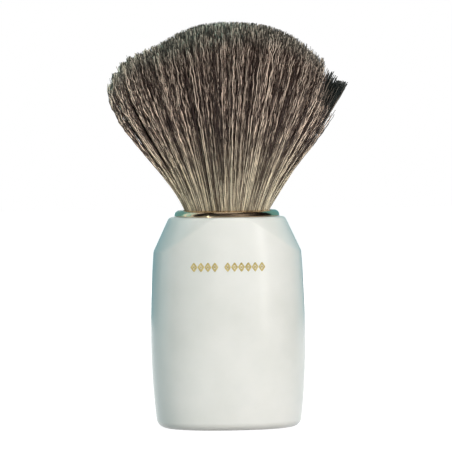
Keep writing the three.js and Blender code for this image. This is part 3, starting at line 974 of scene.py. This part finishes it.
# All tips end on an oval dome. Its edge is stepped: the tips on one stair stand about as high, and the stairs
# run on a slant from front to back.
stair_slant, stair_start = 0.3, 0.35
tip_share = (tip_x * tip_x + tip_y * tip_y).math("SQRT")
within = (1 / tip_share.math("MAXIMUM", 0.001)).math("MINIMUM", 1)
end_x = tip_x * within * given["Fan Radius"]
end_y = tip_y * within * given["Fan Depth"]
stair_shift = tip_y * stair_slant - stair_start
stair_x = ((end_x / given["Stair"] + stair_shift).math("FLOOR") + 0.5 - stair_shift) * given["Stair"]
level_x = end_x + (stair_x - end_x) * smooth(tip_x.math("ABSOLUTE"), 0.3, 0.8)
drop_reach = level_x * level_x + end_y * end_y * given["Front Fall"]
dome_drop = given["Dome Radius"] - (given["Dome Radius"] ** 2 - drop_reach).math("SQRT")
tip_height = given["Crown Height"] - dome_drop
for place, rise, breadth in fan_swells:
    offset = (end_x - place) / breadth
    tip_height = tip_height + rise * (offset * offset * -1).math("EXPONENT")

# At the right, one tuft of the outermost hairs is splayed straight out, with a small point at its inner side.
# The hairs round it are cropped.
splayed_share = 0.85
to_the_right = smooth(root_x, 0.82, 0.86)
in_tuft = to_the_right * (1 - smooth(root_y.math("ABSOLUTE"), 0.14, 0.26))
splayed = in_tuft * chance(7).math("LESS_THAN", splayed_share)
cropped = to_the_right * (1 - splayed)
in_point = smooth(root_x, 0.855, 0.865) * (1 - smooth(root_x, 0.885, 0.895))
raggedness = chance(10) ** 2 * 1.5 * MM
splay_height = given["Splay Height"] + in_point * given["Point Rise"] - raggedness
end_x = end_x * (1 + splayed * given["Splay Reach"])
tip_height = tip_height + (splay_height - tip_height) * splayed

# A hair runs from just inside the mouth to its tip, a little short of the dome. Tips are more even in the
# splayed tuft and at the left.
splayed_evenness, left_evenness = 0.7, 0.6
shortness = chance(5) ** 3 * given["Tip Step"] + lock_number ** 2 * given["Lock Step"]
shortness = shortness + tuft_number * smooth(root_share, 0.6, 1) * given["Tuft Step"]
at_the_left = smooth(tip_x * -1, 0.6, 0.85)
shortness = shortness * (1 - splayed_evenness * splayed) * (1 - left_evenness * at_the_left)
hair_end = 1 - (shortness + cropped * given["Crop"])
travel = given["Root Start"] + (hair_end - given["Root Start"]) * factor

# Within the fan a hair is straight. Towards the two sides, and less so towards the front and back, hairs
# leave at more of a slant and bend back upright.
leaving_slant, bend_back = 0.7, 0.25
front_share = 0.3
remaining = 1 - travel
swing = leaving_slant * travel * remaining * remaining + travel * travel * (3 - 2 * travel)
swing = swing + bend_back * travel * travel * remaining
sideways = root_x * root_x + root_y * root_y * front_share
curl = sideways * sideways * (1 - splayed)
swing = travel + (swing - travel) * curl
start_x = root_x * given["Mouth Radius"]
start_y = root_y * given["Mouth Radius"]
hair_x = start_x + (end_x - start_x) * swing
hair_y = start_y + (end_y - start_y) * swing
hair_z = given["Mouth Height"] + (tip_height - given["Mouth Height"]) * travel

# Badger hair waves more and more towards its tip. The hairs of a lock wave nearly alike.
lock_spread, hair_spread, waves_along, tuft_spread = 70, 1.5, 15, 30
splayed_stiffness = 0.75
ripple_x = lock_number * lock_spread + chance(9) * hair_spread
ripple_place = vector(hair_tree, ripple_x, travel * waves_along, tuft_number * tuft_spread)
ripple = add_node(hair_tree, "ShaderNodeTexNoise", {"Vector": ripple_place, "Scale": 1, "Detail": 1})
wave_x, wave_y, _ = parts(hair_tree, ripple.outputs["Color"])
wave_size = given["Wave"] * smooth(travel, 0.1, 0.9) * 2 * (1 - splayed_stiffness * splayed)
hair_x = hair_x + (wave_x - 0.5) * wave_size
hair_y = hair_y + (wave_y - 0.5) * wave_size
strands = placed(hair_tree, hairs, hair_x, hair_y, hair_z)

# What the colour of a hair goes by.
shade_step, shade_jitter = 0.41421, 0.5
shade = (number * shade_step + chance(6) * shade_jitter).math("FRACT")
marks = {"along": travel, "shade": shade, "lock": lock_number, "gap": strand_gap_shade, "splayed": in_tuft}
for key, value in marks.items():
    strands = add_node(
        hair_tree,
        "GeometryNodeStoreNamedAttribute",
        {"Geometry": strands, "Name": key, "Value": value},
        data_type="FLOAT",
        domain="POINT",
    )

# A hair thickens from its root and tapers at its tip, but not in the splayed tuft. Light hairs are thicker.
dark_share, light_excess = 0.8, 0.45
thickening = (given["Hair Thickness"] - given["Root Thickness"]) * smooth(travel, 0, 0.6)
thickness = given["Root Thickness"] + thickening
thickness = thickness - (thickness - given["Tip Thickness"]) * smooth(factor, 0.75, 1) * (1 - splayed)
thickness = thickness * (dark_share + light_excess * shade * shade)
section = add_node(hair_tree, "GeometryNodeCurvePrimitiveCircle", {"Resolution": 3, "Radius": 0.5})
hair_mesh = add_node(
    hair_tree,
    "GeometryNodeCurveToMesh",
    {"Curve": strands, "Profile Curve": section, "Scale": thickness, "Fill Caps": True},
)
end_shape_tree(hair_tree, hair_mesh, hair_material)

badger_hair, badger_shader = new_material("badger_hair", {"Roughness": 0.42})
badger_tree = badger_shader.id_data


def carried(key):
    """A number that each hair carries."""
    return from_node(badger_tree, "ShaderNodeAttribute", output="Fac", attribute_name=key)


hair_along = carried("along")
hair_shade = carried("shade")
lock_shade = carried("lock")
# Colours from the root, at 0, to the tip, at 1.
dark_hair = colour_at(
    badger_tree,
    hair_along,
    [
        (0, (0.15, 0.115, 0.08)),
        (0.2, (0.08, 0.055, 0.038)),
        (0.45, (0.032, 0.015, 0.011)),
        (0.9, (0.038, 0.019, 0.014)),
        (1, (0.047, 0.045, 0.037)),
    ],
)
light_hair = colour_at(
    badger_tree,
    hair_along,
    [
        (0, (0.95, 0.83, 0.62)),
        (0.25, (0.92, 0.77, 0.58)),
        (0.55, (0.87, 0.665, 0.54)),
        (0.9, (0.88, 0.68, 0.555)),
        (1, (0.68, 0.6, 0.49)),
    ],
)
# Each hair is light or dark by its own shade and by its lock's, broken along its length.
hair_spread, breaks_along, lock_spread = 90, 16, 50
own_weight, lock_weight, break_weight = 0.85, 0.15, 1.3
broken_place = vector(
    badger_tree, hair_shade * hair_spread, hair_along * breaks_along, lock_shade * lock_spread
)
breaks = {"Vector": broken_place, "Scale": 1, "Detail": 2}
broken = from_node(badger_tree, "ShaderNodeTexNoise", breaks, output="Fac")
shade_mix = hair_shade * own_weight + lock_shade * lock_weight + (broken - 0.5) * break_weight
# Near the ring the hairs are lighter, and painted shade darkens the gaps between the strands.
strand_lift, gap_shade_depth, root_lift = 0.13, 0.85, 0.15
strand_lift_and_gap_shade = strand_lift - carried("gap") * gap_shade_depth
shade_mix = shade_mix + strand_lift_and_gap_shade * (1 - hair_along * 1.3).math("MAXIMUM", 0)
shade_mix = shade_mix + (root_lift - hair_along * 0.5).math("MAXIMUM", 0)
light_range = {"Value": shade_mix, "From Min": 0.45, "From Max": 0.93}
lightness = from_node(badger_tree, "ShaderNodeMapRange", light_range) ** 1.5
hair_colour = add_node(
    badger_tree, "ShaderNodeMix", {"Factor": lightness, "A": dark_hair, "B": light_hair}, data_type="RGBA"
)
# Painted shade: the splayed hairs are coloured near black over their outer half, for the shade that falls on
# that side.
painted_shade_start, painted_shade_share = 0.45, 0.88
shaded_outer_half = ((hair_along - painted_shade_start) * 3).math("MINIMUM", painted_shade_share).math("MAXIMUM", 0)
tuft_painted_shade = (0.008, 0.018, 0.017, 1)
hair_colour = add_node(
    badger_tree,
    "ShaderNodeMix",
    {"Factor": carried("splayed") * shaded_outer_half, "A": hair_colour.outputs["Result"], "B": tuft_painted_shade},
    data_type="RGBA",
)
badger_tree.links.new(hair_colour.outputs["Result"], badger_shader.inputs["Base Color"])

# The layer that each band belongs to, its inner and outer share of the knot's radius, and the steps in a
# hair. Only the outer bands show along their length, so only they need the steps that waves take.
hair_total = 14000
seed_step = 53
hair_bands = (
    ("hair_core", 0, 0.27, 10),
    ("hair_inner_layer", 0.27, 0.43, 10),
    ("hair_middle_layer", 0.43, 0.57, 10),
    ("hair_middle_layer", 0.57, 0.69, 10),
    ("hair_outer_layer", 0.69, 0.8, 12),
    ("hair_outer_layer", 0.8, 0.86, 20),
    ("hair_outer_layer", 0.86, 0.9, 26),
    ("hair_outer_layer", 0.9, 0.93, 36),
    ("hair_outer_layer", 0.93, 0.955, 40),
    ("hair_outer_layer", 0.955, 0.978, 40),
    ("hair_outer_layer", 0.978, 1, 40),
)
for band, (node, inner, outer, steps) in enumerate(hair_bands):
    hair_band = piece_from_nodes(
        f"badger_hair_{band + 1}",
        hair_tree,
        {
            **hair_sizes,
            "Inner Share": inner,
            "Outer Share": outer,
            "Hairs": round(hair_total * (outer ** 2 - inner ** 2)),
            "Steps": steps,
            "Seed": seed_step * (band + 1),
            "Material": badger_hair,
        },
    )
    finish_piece(hair_band, "hair", badger_hair, node)

# ---------------------------------------------------------------- collar ring
# A thin ring of gilt brass, turned and polished, that trims the mouth of the handle. Its skirt is glued round
# the top of the cup and its flange lies on the handle's rim, with the outer edge rounded over.


def arc(centre_r, centre_z, radius, start, end, steps=6):
    """Points of a profile along an arc, its angles in degrees from the outward direction upwards."""
    turns = [math.radians(start + (end - start) * i / steps) for i in range(steps + 1)]
    return [(centre_r + radius * math.cos(t), centre_z + radius * math.sin(t)) for t in turns]


collar_rounding = 1.3 * MM
collar_lip = 0.35 * MM
collar_mouth = 11.3 * MM
flange_bottom = collar_high.z - 1.6 * MM
skirt_outer = 12.5 * MM
skirt_inner = 11.6 * MM
skirt_edge = 0.12 * MM

collar_profile = [
    (skirt_inner + skirt_edge, collar_low.z),
    (skirt_outer - skirt_edge, collar_low.z),
    (skirt_outer, collar_low.z + skirt_edge),
    (skirt_outer, flange_bottom),
    (collar_high.x - skirt_edge, flange_bottom),
    (collar_high.x, flange_bottom + skirt_edge),
    *arc(collar_high.x - collar_rounding, collar_high.z - collar_rounding, collar_rounding, 0, 90, 10),
    *arc(collar_mouth + collar_lip, collar_high.z - collar_lip, collar_lip, 90, 180),
    (collar_mouth, flange_bottom),
    (skirt_inner, flange_bottom - skirt_edge),
    (skirt_inner, collar_low.z + skirt_edge),
]
collar_ring = turned("collar_ring_polished", collar_profile, columns=224)

gilt_brass, gilt_gloss = new_material("gilt_brass", {"Metallic": 1})
gilt_lines = tool_marks(gilt_gloss, scale=2500, distortion=0.8, detail=2)
emboss(gilt_gloss, gilt_lines, strength=0.12, depth=0.01 * MM)
smudges = cloud(gilt_gloss, scale=220, detail=4)
gilt_tree = gilt_gloss.id_data
dullness = add_node(gilt_tree, "ShaderNodeMapRange", {"Value": smudges, "To Min": 0.08, "To Max": 0.24})
gilt_tree.links.new(dullness.outputs[0], gilt_gloss.inputs["Roughness"])
tint(gilt_gloss, smudges, (0, (0.8, 0.58, 0.38)), (1, (0.9, 0.72, 0.5)))
finish_piece(collar_ring, "gilt_collar", gilt_brass, "collar_ring")
